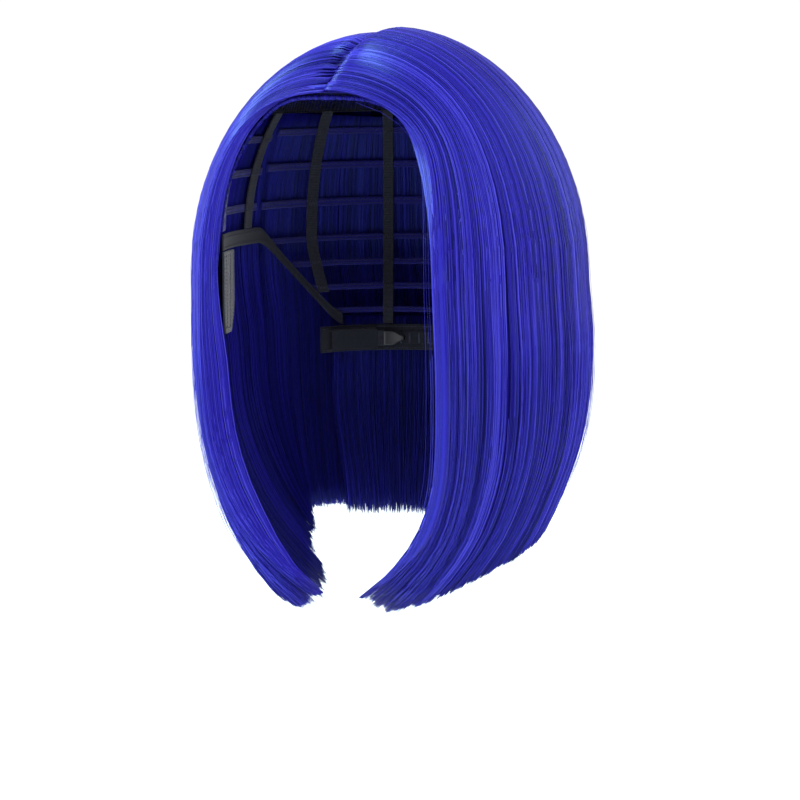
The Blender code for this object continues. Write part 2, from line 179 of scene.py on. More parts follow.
def hair_skins(q, t, side=1.0, inner=False):
    """Inner and outer point of the hair on the wearer's left.

    q runs from the face edge, 0, to the back, 1; t runs from the root, 0, to the tip, 1.
    """
    q, t = np.broadcast_arrays(np.asarray(q, float), np.asarray(t, float))
    _, half_x, half_y, shift = HAIR_LEVELS[-1]
    past = np.maximum(0.0, (q - CROWN_SHARE) / (1 - CROWN_SHARE))
    turn = np.radians(90.0 + 90.0 * past)
    way = points(np.sin(turn), -np.cos(turn), 0 * q)
    x = np.maximum(0.6 * PART_HALF_GAP, PART_HALF_GAP + WHORL_RADIUS * (way[..., 0] - 1) * 0.5)
    x = x * lerp(0.15, 1.0, smooth(q / 0.06))
    y = lerp(PART_Y[0], PART_Y[1], np.minimum(1.0, q / CROWN_SHARE)) - DOME_SHIFT + WHORL_RADIUS * way[..., 1]
    x, y = x / half_x, y / half_y
    start = points(x, y, np.sqrt(1 - x * x - y * y))
    az = np.radians(lerp(LOCK_AZ, BACK_AZ, q))
    end = points(np.sin(az), -np.cos(az), 0 * q)
    s = np.clip(t / FALL_START, 0, 1)[..., None]
    r = 1 - s
    up = np.array([0, 0, FALL_REACH])
    near, far = (start + way * ROOT_REACH) * (3 * r * r * s), (end + up) * (3 * r * s * s)
    d = unit(start * r**3 + near + far + end * s**3)
    centre = lerp(DOME_SHIFT, shift, 1 - d[..., 2])
    top = HAIR_TOP_Z + side * CROWN_LEAN * (1 - smooth((q - 0.4) / 0.4))
    outer_top = points(half_x * d[..., 0], centre + half_y * d[..., 1], BULGE_Z + (top - BULGE_Z) * d[..., 2])
    core_top = (CAP_HALF + np.array([3.5, 3.5, 2.9])) * d - np.array([0, 0, CAP_HALF[2]])

    fall = np.clip((t - FALL_START) / (1 - FALL_START), 0, None)
    tip = spread(TIP_Z, q)[0] - LONGER[side] * bell(q - 0.13, 0.10)
    turn, late = LOCK_TURN[side]
    bent = np.clip((fall - BEND_START) / (1 - BEND_START), 0, None)
    front = np.maximum(0.0, 1 - 2.0 * q) ** 2
    sweep = turn * front * bent**late
    az = np.radians(lerp(LOCK_AZ, BACK_AZ, q) - sweep)
    z = lerp(BULGE_Z, tip, fall)
    rx, ry, back = spread(HAIR_LEVELS, z)
    over = np.maximum(0.0, HAIR_LEVELS[0, 0] - z)  # past the last level the ends keep turning in
    rx, ry = rx - 0.4 * over, ry - 0.6 * over
    hook = LOCK_IN[0] * front * bent ** LOCK_IN[1]
    rx, ry = rx - hook, ry - hook
    outer_low = points(rx * np.sin(az), back - ry * np.cos(az), z)
    if inner:
        curl = INNER_CURL[0] * smooth(q / 0.2) * smooth((0.55 - q) / 0.2) * bent ** INNER_CURL[1]
        rx, ry = rx - curl, ry - curl
    inner_back = back * smooth(fall / 0.35)
    z = lerp(-CAP_HALF[2], tip, fall)
    core_low = points((rx - FLESH[0]) * np.sin(az), inner_back - (ry - FLESH[1]) * np.cos(az), z)
    low = (t >= FALL_START)[..., None]
    mingle = points(BACK_OVERLAP * smooth((q - 0.94) / 0.06), 0, 0)
    return np.where(low, core_low, core_top) - mingle, np.where(low, outer_low, outer_top) - mingle


def hair_lines(q, t, depth, side, inner=False):
    """Points at depth under the outer skin, or off the inner skin, and the way out of the hair."""
    core, outer = hair_skins(q, t, side, inner)
    out = unit(outer - core)
    if inner:
        return core + out * depth[..., None], -out
    return outer - out * depth[..., None], out


def nape_lines(arc, v, depth):
    """Nape hair, hung from the lowest rows and close to the neck."""
    inner = 63.4 - 16.0 * smooth((v - 0.35) / 0.65)
    return nape_point(arc, inner + depth, lerp(-139.0, -240.0, v))


# Mesh makers

HAIR_UVS = ("strand", "OFBake")
CLOTH_UVS = ("cloth",)
NO_TRIANGLES = np.zeros((0, 3), int)


def new_object(name, verts, quads, tris, uv, layers, material):
    """Mesh from arrays in millimetres; uv is one coordinate pair per vertex."""
    mesh = bpy.data.meshes.new(name)
    mesh.vertices.add(len(verts))
    mesh.vertices.foreach_set("co", (verts * MM).astype(np.float32).ravel())
    loops = np.concatenate([quads.ravel(), tris.ravel()]).astype(np.int32)
    starts = np.concatenate([np.arange(len(quads)) * 4, len(quads) * 4 + np.arange(len(tris)) * 3])
    mesh.loops.add(len(loops))
    mesh.loops.foreach_set("vertex_index", loops)
    mesh.polygons.add(len(starts))
    mesh.polygons.foreach_set("loop_start", starts.astype(np.int32))
    mesh.update(calc_edges=True)
    for layer in layers:
        mesh.uv_layers.new(name=layer).data.foreach_set("uv", uv[loops].astype(np.float32).ravel())
    mesh.polygons.foreach_set("use_smooth", np.full(len(starts), True))
    mesh.validate()
    obj = bpy.data.objects.new(name, mesh)
    scene.collection.objects.link(obj)
    obj.data.materials.append(material)
    return obj


def tubes(name, paths, radii, out, material, tone=None, sides=3, uv_layers=HAIR_UVS):
    """Tubes along paths (N, S, 3) with radii (N, S); out is the way each tube's ridge faces."""
    n, s, _ = paths.shape
    radii = np.broadcast_to(radii, (n, s))
    tangent = unit(np.gradient(paths, axis=1))
    across = unit(np.cross(tangent, out))
    lift = np.cross(across, tangent)
    turn = np.arange(sides) * 2 * np.pi / sides + np.pi / 2
    ring = np.cos(turn)[:, None] * across[:, :, None, :] + np.sin(turn)[:, None] * lift[:, :, None, :]
    verts = (paths[:, :, None, :] + radii[:, :, None, None] * ring).reshape(-1, 3)
    idx = np.arange(n * s * sides).reshape(n, s, sides)
    a, b = idx[:, :-1], np.roll(idx, -1, 2)[:, :-1]
    c, d = np.roll(idx, -1, 2)[:, 1:], idx[:, 1:]
    quads = np.stack([a, d, c, b], -1).reshape(-1, 4)
    first, last = idx[:, 0, :], idx[:, -1, ::-1]
    tris = [e[:, [0, k, k + 1]] for e in (first, last) for k in range(1, sides - 1)]
    tone = np.full(n, 0.5) if tone is None else tone
    u = np.repeat(tone * 0.98 + 0.01, s * sides)
    v = np.tile(np.repeat(np.linspace(0.01, 0.99, s), sides), n)
    return new_object(name, verts, quads, np.concatenate(tris), np.stack([u, v], -1), uv_layers, material)


def sheet_mesh(name, low, high, uv, material, layers=CLOTH_UVS):
    """Closed sheet between two grids of points of the same shape."""
    rows, cols = low.shape[:2]
    n = rows * cols
    idx = np.arange(n).reshape(rows, cols)
    face = np.stack([idx[:-1, :-1], idx[1:, :-1], idx[1:, 1:], idx[:-1, 1:]], -1).reshape(-1, 4)
    rim = np.concatenate([idx[:, 0], idx[-1, 1:], idx[-2::-1, -1], idx[0, -2:0:-1]])
    nxt = np.roll(rim, -1)
    quads = np.concatenate([face[:, ::-1], face + n, np.stack([rim, nxt, nxt + n, rim + n], -1)])
    verts = np.concatenate([low.reshape(-1, 3), high.reshape(-1, 3)])
    a, b, c = verts[quads[:, 0]], verts[quads[:, 1]], verts[quads[:, 2]]
    d = verts[quads[:, 3]]
    volume = (a * np.cross(b, c)).sum() + (a * np.cross(c, d)).sum()
    if volume < 0:
        quads = quads[:, ::-1]
    return new_object(name, verts, quads, NO_TRIANGLES, np.tile(uv.reshape(-1, 2), (2, 1)), layers, material)


def join(name, objects):
    """Join objects that are one kind of piece."""
    bpy.ops.object.select_all(action="DESELECT")
    for obj in objects:
        obj.select_set(True)
    bpy.context.view_layer.objects.active = objects[0]
    bpy.ops.object.join()
    objects[0].name = objects[0].data.name = name
    return objects[0]


def place(piece, body, slot, *nodes):
    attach(piece, body)
    if nodes:
        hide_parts(*nodes)
    return piece


# Materials

HAIR_GLOSS, HAIR_SHEEN = (0.24, 0.38, 1.0, 1.0), (0.18, 0.18, 0.95, 1.0)


def node_material(name, roughness, specular, colour=None):
    mat = bpy.data.materials.new(name)
    mat.use_nodes = True
    bsdf = mat.node_tree.nodes["Principled BSDF"]
    bsdf.inputs["Roughness"].default_value = roughness
    bsdf.inputs["Specular IOR Level"].default_value = specular
    if colour:
        bsdf.inputs["Base Color"].default_value = (*colour, 1.0)
    return mat, mat.node_tree, bsdf


def colour_ramp(tree, source, tones, target):
    """Colours spread evenly over source, into target."""
    ramp = tree.nodes.new("ShaderNodeValToRGB")
    stops = ramp.color_ramp.elements
    while len(stops) < len(tones):
        stops.new(0.5)
    for i, tone in enumerate(tones):
        stops[i].position = i / (len(tones) - 1)
        stops[i].color = (*tone, 1.0)
    tree.links.new(source, ramp.inputs["Fac"])
    tree.links.new(ramp.outputs["Color"], target)


def math_node(tree, operation, *values):
    node = tree.nodes.new("ShaderNodeMath")
    node.operation = operation
    for socket, value in zip(node.inputs, values):
        if isinstance(value, (int, float)):
            socket.default_value = value
        else:
            tree.links.new(value, socket)
    return node.outputs["Value"]


def scaled_uv(tree, layer, scale):
    uv = tree.nodes.new("ShaderNodeUVMap")
    uv.uv_map = layer
    node = tree.nodes.new("ShaderNodeVectorMath")
    node.operation = "MULTIPLY"
    node.inputs[1].default_value = scale
    tree.links.new(uv.outputs["UV"], node.inputs[0])
    return node.outputs["Vector"]


def noise(tree, vector, scale=1.0, detail=2.0):
    node = tree.nodes.new("ShaderNodeTexNoise")
    node.inputs["Scale"].default_value = scale
    node.inputs["Detail"].default_value = detail
    tree.links.new(vector, node.inputs["Vector"])
    return node.outputs["Fac"]


def hair_material(name, tones, roughness, specular, sheen):
    """Fibre colour by strand, and along the strand, from the strand's own coordinates."""
    mat, tree, bsdf = node_material(name, roughness, specular)
    bsdf.inputs["Specular Tint"].default_value = HAIR_GLOSS
    bsdf.inputs["Sheen Weight"].default_value = sheen
    bsdf.inputs["Sheen Roughness"].default_value = 0.45
    bsdf.inputs["Sheen Tint"].default_value = HAIR_SHEEN
    split = tree.nodes.new("ShaderNodeSeparateXYZ")
    tree.links.new(scaled_uv(tree, "strand", (1.0, 1.0, 1.0)), split.inputs[0])
    grain = noise(tree, scaled_uv(tree, "strand", (190.0, 5.0, 1.0)))
    strand = math_node(tree, "SUBTRACT", split.outputs["X"], 0.25)
    tone = math_node(tree, "MULTIPLY_ADD", grain, 0.5, strand)
    colour_ramp(tree, tone, tones, bsdf.inputs["Base Color"])
    return mat


def cloth_material(name, dark, light, pitch, roughness=0.85, ribbed=0.0, fuzz=0.15):
    """Woven cloth: threads cross every pitch millimetres, ribs run across a tape, and UVs are centimetres."""
    mat, tree, bsdf = node_material(name, roughness, 0.25)
    bsdf.inputs["Sheen Weight"].default_value = fuzz
    bsdf.inputs["Sheen Roughness"].default_value = 0.5
    turn = 2 * math.pi * 10 / pitch
    split = tree.nodes.new("ShaderNodeSeparateXYZ")
    tree.links.new(scaled_uv(tree, "cloth", (turn, turn, 1.0)), split.inputs[0])
    warp, fill = (math_node(tree, "SINE", split.outputs[axis]) for axis in "XY")
    weave = math_node(tree, "MULTIPLY", warp, fill)
    if ribbed:
        weave = math_node(tree, "MULTIPLY_ADD", fill, ribbed, weave)
    wear = noise(tree, scaled_uv(tree, "cloth", (3.0, 3.0, 1.0)), 2.0, 4.0)
    tone = math_node(tree, "MULTIPLY_ADD", weave, 0.28, wear)
    colour_ramp(tree, tone, (dark, light), bsdf.inputs["Base Color"])
    bump = tree.nodes.new("ShaderNodeBump")
    bump.inputs["Strength"].default_value = 0.6
    bump.inputs["Distance"].default_value = 0.08 * MM
    tree.links.new(weave, bump.inputs["Height"])
    tree.links.new(bump.outputs["Normal"], bsdf.inputs["Normal"])
    return mat


def spotted_material(name, dark, light, scale, roughness, specular, metallic=0.0, stretch=(1, 1, 1)):
    """Moulded or drawn surface whose tone varies a little from place to place."""
    mat, tree, bsdf = node_material(name, roughness, specular)
    bsdf.inputs["Metallic"].default_value = metallic
    spots = noise(tree, scaled_uv(tree, "cloth", tuple(scale * k for k in stretch)), 1.0, 3.0)
    colour_ramp(tree, spots, (dark, light), bsdf.inputs["Base Color"])
    return mat


BLUE_TONES = [(0.002, 0.0006, 0.05), (0.007, 0.0025, 0.16), (0.023, 0.013, 0.34), (0.070, 0.062, 0.56)]
# Darker copy of the hair colour for the mat under the strands and the hair inside the cap: painted shade
SHADED_HAIR_TONES = [(0.002, 0.0008, 0.05), (0.005, 0.0022, 0.13), (0.012, 0.006, 0.28)]
BLUE = hair_material("hair_blue", BLUE_TONES, 0.32, 0.45, 0.06)
SHADED_HAIR = hair_material("hair_painted_shade", SHADED_HAIR_TONES, 0.45, 0.5, 0.05)
NET = spotted_material("net_thread", (0.006, 0.006, 0.012), (0.020, 0.021, 0.036), 30.0, 0.7, 0.3)
BAND = cloth_material("cap_band_cloth", (0.006, 0.006, 0.011), (0.022, 0.023, 0.037), 0.55)
FELT = cloth_material("cap_felt_cloth", (0.012, 0.013, 0.022), (0.034, 0.036, 0.055), 0.35, 0.95, 0.0, 0.35)
EDGE = cloth_material("front_edge_cloth", (0.007, 0.005, 0.15), (0.014, 0.010, 0.30), 0.6)
RIBBON = cloth_material("weft_ribbon_cloth", (0.005, 0.004, 0.10), (0.012, 0.009, 0.27), 0.5, 0.8, 0.6)
ELASTIC = cloth_material("elastic_tape", (0.008, 0.008, 0.014), (0.042, 0.042, 0.062), 0.8, 0.8, 1.0)
BACKING = cloth_material("parting_cloth", (0.010, 0.008, 0.05), (0.05, 0.04, 0.13), 0.7)
THREAD = spotted_material("sewing_thread", (0.015, 0.014, 0.03), (0.06, 0.06, 0.10), 60.0, 0.6, 0.4)
STAY = spotted_material("aluminium_stay", (0.36, 0.37, 0.39), (0.62, 0.63, 0.65), 4.0, 0.35, 0.5, 1.0,
                        (0.4, 14.0, 1.0))
PLASTIC = spotted_material("hook_plastic", (0.010, 0.010, 0.013), (0.022, 0.022, 0.027), 6.0, 0.28, 0.5)

# Hair

PANELS = {  # stretches of the head that each outer panel's pieces cover
    "front": [(0.0, 0.10), (0.10, 0.20)],
    "side": [(0.20, 0.335), (0.335, 0.47)],
    "back": [(0.47, 0.60), (0.60, 0.73), (0.73, 0.865), (0.865, 1.0)],
}
UNDER = {"front": (0.035, 0.26), "side": (0.26, 0.60), "back": (0.60, 1.0)}
HEM_LENGTH = 230.0  # round one side at the widest
STRAND_LENGTH = 310.0
OUTER_STRANDS, OUTER_RADIUS, OUTER_DEPTH = 6000, 0.18, (0.0, 2.2)  # each for a whole side of the head
HEM_STRANDS, FRONT_HEM_STRANDS, HEM_RADIUS, HEM_DEPTH = 1900, 3800, 0.2, (2.2, 7.5)
UNDER_STRANDS, UNDER_RADIUS, UNDER_DEPTH = 3000, 0.2, (0.3, 1.8)
HEM_SHARE, UNDER_SHARE = (0.62, 0.999), (0.20, 0.985)  # share of a strand's length they cover
OUTER_MAT, OUTER_MAT_SHARE = (2.0, 6.6), (0.0, 0.968)
UNDER_MAT, UNDER_MAT_SHARE = (1.6, 6.0), (0.20, 0.955)
LOOSE_STRANDS, LOOSE_RADIUS, LOOSE_REACH = 150, 0.07, 3.2
NAPE_HAIR_ARC = 53.5  # how far round from the back the nape hair hangs, in degrees
TIP_TAPER = 0.05  # share of a strand that narrows at its tip
BROAD_LOCK, FINE_LOCK = 17.0, 3.0  # widths
FINE_TONES = 600  # stretches round the head whose strands share a tone
ROOT_CROWD = 1.6  # points along a strand crowd toward the root by this power
PLEATS = 27  # bundles sewn along each side of the part
PLEAT_TIGHT = {1.0: 0.30, -1.0: 0.80}
PLEAT_GAP = 2.6  # depth of the gap between two bundles
PART_DIP = {1.0: (3.0, 0.0035), -1.0: (2.6, 0.0055)}  # how far, and over what share of a strand, roots sink
EDGES = {  # each closed edge: name, then place, strands, outermost layer, innermost, a later innermost, from, over
    1.0: {"face": (0.0, 950, 1.0, 0.03, 0.92, 0.19, 0.17), "inner": (0.030, 420, 0.62, 0.02, 0.02, 0.5, 0.1)},
    -1.0: {"face": (0.0, 950, 1.0, 0.03, 0.55, 0.84, 0.16)},
}


def wave(r, n, s, low, high):
    """Smooth random curve for each strand, one row each."""
    x = np.linspace(0, 1, s)[None]
    f, p = r.uniform(low, high, (n, 1)), r.uniform(0, 2 * np.pi, (n, 1))
    return np.sin(2 * np.pi * f * x + p)


class Locks:
    """Random locks round one side of the head, the same for every piece of hair they run through."""

    def __init__(self, seed, width):
        r = np.random.default_rng(seed)
        count = int(HEM_LENGTH / width)
        cuts = np.cumsum(r.uniform(0.45, 1.55, count))
        self.edges = np.concatenate([[0.0], cuts / cuts[-1]])
        self.tone, self.longer = r.uniform(-1, 1, count), r.normal(0, 1, count)
        self.turn, self.lift = r.normal(0, 1, count), r.uniform(0, 1, count)

    def at(self, q):
        i = np.clip(np.searchsorted(self.edges, q, side="right") - 1, 0, len(self.tone) - 1)
        mid, half = (self.edges[i] + self.edges[i + 1]) / 2, (self.edges[i + 1] - self.edges[i]) / 2
        return i, mid, (q - mid) / half


def comb(q, t, side, broad, fine):
    """How locks move hair: new q, how far in the strand lies, its tone, and how much longer it is."""
    i, mid, place_broad = broad.at(q)
    j, mid_fine, place_fine = fine.at(q)
    grow, end = smooth((t - 0.12) / 0.5), smooth((t - 0.90) / 0.10)
    spikes = smooth((0.10 - q) / 0.10)  # the face-framing lock separates more
    moved = q - (q - mid) * 0.05 * grow - (q - mid_fine) * (0.10 * grow + (0.02 + 0.16 * spikes) * end)
    moved = moved + grow * (0.0016 * broad.turn[i] + 0.0005 * fine.turn[j])
    depth = grow * (0.9 * place_broad**4 + 0.8 * broad.lift[i] + 0.30 * place_fine**2 + 0.35 * fine.lift[j])
    place_pleat = q / CROWN_SHARE * PLEATS + 0.35 * np.sin(q * 97.0)  # uneven bundles
    off_pleat = place_pleat - np.round(place_pleat)
    root = PLEAT_TIGHT[side] * bell(t, 0.014) * (q < CROWN_SHARE)
    moved = moved - off_pleat / PLEATS * CROWN_SHARE * root * 0.6
    depth = depth + PLEAT_GAP * root * (2 * np.abs(off_pleat)) ** 3
    return moved, depth, 0.6 * broad.tone[i] + 0.4 * fine.tone[j], broad.longer[i] + fine.longer[j]


def root_dip(t, side):
    deep, share = PART_DIP[side]
    return deep * bell(t, share) + 0.45 * bell(t, 0.02)


def along(t0, t1, segments):
    """Shares of a strand from t0 to t1, crowded toward the root."""
    power = ROOT_CROWD if np.all(np.asarray(t0) == 0) else 1.0
    return lerp(t0, t1, np.linspace(0, 1, segments + 1)[None] ** power)


def taper(count, segments, radius, r):
    """Radius along each strand, thin at the tip."""
    rel = np.linspace(0, 1, segments + 1)[None]
    size = radius * r.uniform(0.75, 1.3, (count, 1))
    return size * (0.8 + 0.2 * smooth(rel / 0.05)) * (1 - 0.65 * smooth((rel - 1 + TIP_TAPER) / TIP_TAPER))


def fibres(name, side, seed, q_range, count, depth, locks, t_range=(0.0, 1.0), radius=OUTER_RADIUS,
           segments=34, inner=False, ragged=1.7, material=None):
    """Strands over one stretch of the head, from share t_range[0] of their length to the tip."""
    r = np.random.default_rng(seed)
    q0 = np.sort(r.uniform(*q_range, count))
    level = r.uniform(0, 1, (count, 1)) ** 1.4
    spikes = smooth((0.12 - q0) / 0.12)
    _, _, tone, longer = comb(q0, 1.0, side, *locks)
    drop = np.abs(r.normal(0, 1, count)) * ragged * (1 + 0.5 * spikes) + 0.9 * longer
    drop = drop + r.choice([0.0, 6.0, -2.5], count, p=[0.90, 0.06, 0.04])
    ends = (t_range[1] - np.clip(drop, -3.5, 14.0) / STRAND_LENGTH)[:, None]
    t = along(t_range[0], ends, segments)
    wander = r.normal(0, 0.0008, (count, 1)) * smooth((t - 0.1) / 0.6)
    stray = (r.uniform(0, 1, (count, 1)) < 0.03) * r.normal(0, 0.007, (count, 1)) * smooth((t - 0.2) / 0.8)
    q, inward, _, _ = comb(np.broadcast_to(q0[:, None], t.shape), t, side, *locks)
    q = np.clip(q + wander + stray + 0.0002 * wave(r, count, segments + 1, 0.3, 1.0), -0.004, 1.0)
    # strands that start below the roots start just under the skin
    spread_in = smooth((t - t_range[0]) / 0.25) if t_range[0] > 0 else 1.0
    deep = lerp(*depth, level * spread_in) * (0.4 + 0.6 * smooth(t / 0.1)) + inward
    deep = deep * (1 - 0.75 * (np.abs(stray) > 0)) + 0.10 * wave(r, count, segments + 1, 0.5, 1.5)
    if t_range[0] == 0:
        deep = deep + root_dip(t, side)
    line, out = hair_lines(q, t, deep, side, inner)
    tone = np.where(q0 < 0.07, 0.35 + 0.4 * tone, tone)  # the face-framing lock is a bright one
    size = taper(count, segments, radius, r)
    fine = r.normal(0, 0.13, FINE_TONES + 1)[(q0 * FINE_TONES).astype(int)]  # neighbours share a tone
    # strands that lie deeper are painted darker: painted shade between the layers
    shade = np.clip(0.48 + 0.26 * tone + fine + r.normal(0, 0.20, count) - 0.25 * level[:, 0], 0, 1)
    return tubes(name, mirror(line, side), size, mirror(out, side), material or BLUE, shade)


def mat_layer(name, side, seed, q_range, depths, t_range, locks, segments=56, inner=False):
    """Closed mat of hair under the strands, combed into fine ridges, thinning toward the tips; its darker colour
    is painted shade.
    """
    r = np.random.default_rng(seed)
    across = int((q_range[1] - q_range[0]) * HEM_LENGTH * 1.7)
    u = np.linspace(0, 1, across + 1)
    v = along(0.0 if t_range[0] == 0 else 1e-9, 1.0, segments)[0]
    q, t = lerp(*q_range, u)[:, None] + 0 * v[None], lerp(*t_range, v)[None] + 0 * u[:, None]
    moved, inward, _, _ = comb(q, t, side, *locks)
    grain = r.normal(0, 0.22, across + 1)[:, None]
    fade = smooth((t_range[1] - t) / 0.07)
    core, skin = hair_skins(moved, t, side, inner)
    thick = np.linalg.norm(skin - core, axis=-1)
    out = (skin - core) / thick[..., None]
    edge = lerp(0.2, 1.0, smooth(moved / 0.05))  # thin at the face-framing edge
    top = depths[0] + inward + grain * smooth(t / 0.1)
    low = lerp(depths[0] + 0.4, depths[1] - grain * 0.5, edge)
    if inner:
        top, low = thick - low, thick - top
    elif t_range[0] == 0:
        top = top + root_dip(t, side)
        low = np.maximum(low, top + 0.6)
    low = np.minimum(low, thick - 0.25)
    top = np.minimum(top, low - 0.3)
    mid = (top + low) / 2
    top, low = lerp(mid - 0.12, top, fade), lerp(mid + 0.12, low, fade)
    a, b = (mirror(skin - out * d[..., None], side) for d in (top, low))
    uv = points(u[:, None] * 0.98 + 0.01, v[None] * 0.98 + 0.01)
    return sheet_mesh(name, a, b, uv, SHADED_HAIR, HAIR_UVS)


def edge_points(q, t, share, side, edge):
    """Points on a closed edge, at a share of the way out through the hair's layers."""
    place_q, _, top, first, last, start, over = edge
    core, outer = hair_skins(q + place_q, t, side)
    layer = lerp(lerp(first, last, smooth((t - start) / over)), top, share)
    layer = layer - 0.40 * bell(t, PART_DIP[side][1])
    return core + (outer - core) * layer[..., None], unit(outer - core)


def edge_wall(side, edge):
    """Closed mat through the thickness of a face-framing edge; its darker colour is painted shade."""
    u, end = np.linspace(0, 1, 15)[:, None], 0.94
    t = along(0.0, end, 56) + 0 * u
    fade = smooth((end - t) / 0.12)
    bulge = 0.005 * np.sin(np.pi * u) * smooth(t / 0.25) * fade
    share = lerp(0.5, lerp(0.04, 0.90, u), 0.15 + 0.85 * fade)
    front, _ = edge_points(0.008 - bulge, t, share, side, edge)
    behind, _ = edge_points(0.0095 + 0.014 * fade - bulge, t, share, side, edge)
    uv = points(u * 0.98 + 0.01, t * 0.98 + 0.01)
    return sheet_mesh("wall", mirror(front, side), mirror(behind, side), uv, SHADED_HAIR, HAIR_UVS)


def face_edge(side, seed, edge):
    """Strands over a face-framing edge."""
    r = np.random.default_rng(seed)
    count, segments = edge[1], 30
    share = r.uniform(0.0, 1.0, (count, 1))
    t = along(0.0, 1.0 - np.abs(r.normal(0, 0.012, (count, 1))), segments)
    q = r.uniform(0, 0.006, (count, 1)) - 0.005 * np.sin(np.pi * share) * smooth(t / 0.25)
    q = q + 0.0003 * wave(r, count, segments + 1, 0.3, 1.0)
    line, out = edge_points(q, t, share, side, edge)
    shade = np.clip(0.55 + r.normal(0, 0.18, count), 0, 1)
    size = taper(count, segments, 0.19, r)
    return tubes("face_edge", mirror(line, side), size, mirror(out, side), BLUE, shade)


def flyaways(side, seed, q_range, count, reach):
    """Loose single fibres that stand off the surface."""
    r, segments = np.random.default_rng(seed), 22
    t0, t1 = r.uniform(0.02, 0.5, (count, 1)), r.uniform(0.75, 1.015, (count, 1))
    t = lerp(t0, t1, np.linspace(0, 1, segments + 1)[None])
    rel = (t - t0) / (t1 - t0)
    q = r.uniform(*q_range, (count, 1)) + r.normal(0, 0.014, (count, 1)) * rel**1.5
    off = r.uniform(0.15, 1.0, (count, 1)) ** 2 * reach
    off = off * np.sin(np.pi * rel * r.uniform(0.55, 0.95, (count, 1)))
    line, out = hair_lines(q, t, 0.2 - off, side)
    shade = r.uniform(0.5, 1.0, count)
    size = taper(count, segments, LOOSE_RADIUS, r)
    return tubes("flyaways", mirror(line, side), size, mirror(out, side), BLUE, shade)


def build_outer(word, side, seed, locks):
    for k, (panel, ranges) in enumerate(PANELS.items()):
        for m, q_range in enumerate(ranges):
            width, s = q_range[1] - q_range[0], seed + 10 * k + m
            span = (q_range[0] + 0.004 * (q_range[0] == 0), q_range[1] + 0.002 * (q_range[1] < 1))
            parts = [
                fibres("fibres", side, s, q_range, int(OUTER_STRANDS * width), OUTER_DEPTH, locks),
                fibres("hem", side, s + 4, q_range, int(width * (HEM_STRANDS if k else FRONT_HEM_STRANDS)),
                       HEM_DEPTH, locks, HEM_SHARE, HEM_RADIUS, 10, ragged=1.2),
                mat_layer("mat", side, s + 1, span, OUTER_MAT, OUTER_MAT_SHARE, locks),
                flyaways(side, s + 5, q_range, int(LOOSE_STRANDS * width), LOOSE_REACH),
            ]
            suffix = f"_{m + 1}" if len(ranges) > 1 else ""
            piece = join(f"{panel}_strands_{word}{suffix}", parts)
            place(piece, "cap", "hair_outer", *([f"{panel}_hair_{word}"] if m == 0 else []))
    parts = [flyaways(side, seed + 6, (-0.022, 0.0), 7, 1.0)]
    for i, (name, edge) in enumerate(EDGES[side].items()):
        parts += [face_edge(side, seed + 3 + 40 * i, edge), edge_wall(side, edge)]
        place(join(f"{name}_edge_{word}", parts), "cap", "hair_outer")
        parts = []


def build_under(word, side, seed, locks):
    for k, (panel, q_range) in enumerate(UNDER.items()):
        width, s = q_range[1] - q_range[0], seed + 10 * k
        # the hair inside takes the darker hair colour: painted shade
        parts = [
            fibres("fibres", side, s, q_range, int(UNDER_STRANDS * width), UNDER_DEPTH, locks, UNDER_SHARE,
                   UNDER_RADIUS, 22, True, 1.8, SHADED_HAIR),
            mat_layer("mat", side, s + 1, q_range, UNDER_MAT, UNDER_MAT_SHARE, locks, 40, True),
        ]
        place(join(f"{panel}_under_{word}", parts), "cap", "hair_under", f"under_{panel}_{word}")


def build_nape(word, side, seed):
    """Curtain of strands on both faces of a mat, in the darker hair colour that is painted shade."""
    r = np.random.default_rng(seed)
    count, segments = 1000, 20
    arc = np.sort(r.uniform(0.0, NAPE_HAIR_ARC, count))[:, None]
    v = np.linspace(0, 1, segments + 1)[None] * (1 - np.abs(r.normal(0, 0.05, (count, 1))))
    inside = r.uniform(0, 1, (count, 1)) < 0.7
    depth = np.where(inside, r.uniform(0, 2.5, (count, 1)), r.uniform(10, 13, (count, 1)))
    depth = lerp(6.5, depth, 0.2 + 0.8 * smooth((NAPE_HAIR_ARC - arc) / 9.0))  # rounded off at the side
    depth = depth + 0.4 * wave(r, count, segments + 1, 0.3, 1.0)
    line = nape_lines(arc + 0.5 * wave(r, count, segments + 1, 0.3, 0.8), v, depth)
    away = points(np.sin(np.radians(arc)) + 0 * v, np.cos(np.radians(arc)), 0)
    out = np.where(inside[..., None], -away, away)
    shade = np.clip(0.5 + r.normal(0, 0.2, count), 0, 1)
    size = taper(count, segments, 0.24, r)
    hair = tubes("fibres", mirror(line, side), size, mirror(out, side), SHADED_HAIR, shade)

    u, w = np.linspace(0.2, 52.0, 71)[:, None], np.linspace(0, 0.95, 25)[None]
    grain, fade = r.normal(0, 0.3, (71, 1)), smooth((0.95 - w) / 0.2) * smooth((52.5 - u) / 9.0)
    low = nape_lines(u, w, lerp(6.2, 2.4 + grain, fade))
    high = nape_lines(u, w, lerp(6.6, 10.4 - grain, fade))
    uv = points(u / 53.0, w * 0.98 + 0.01)
    mat = sheet_mesh("mat", mirror(low, side), mirror(high, side), uv, SHADED_HAIR, HAIR_UVS)
    place(join(f"nape_strands_{word}", [hair, mat]), "cap", "hair_under", f"nape_hair_{word}")


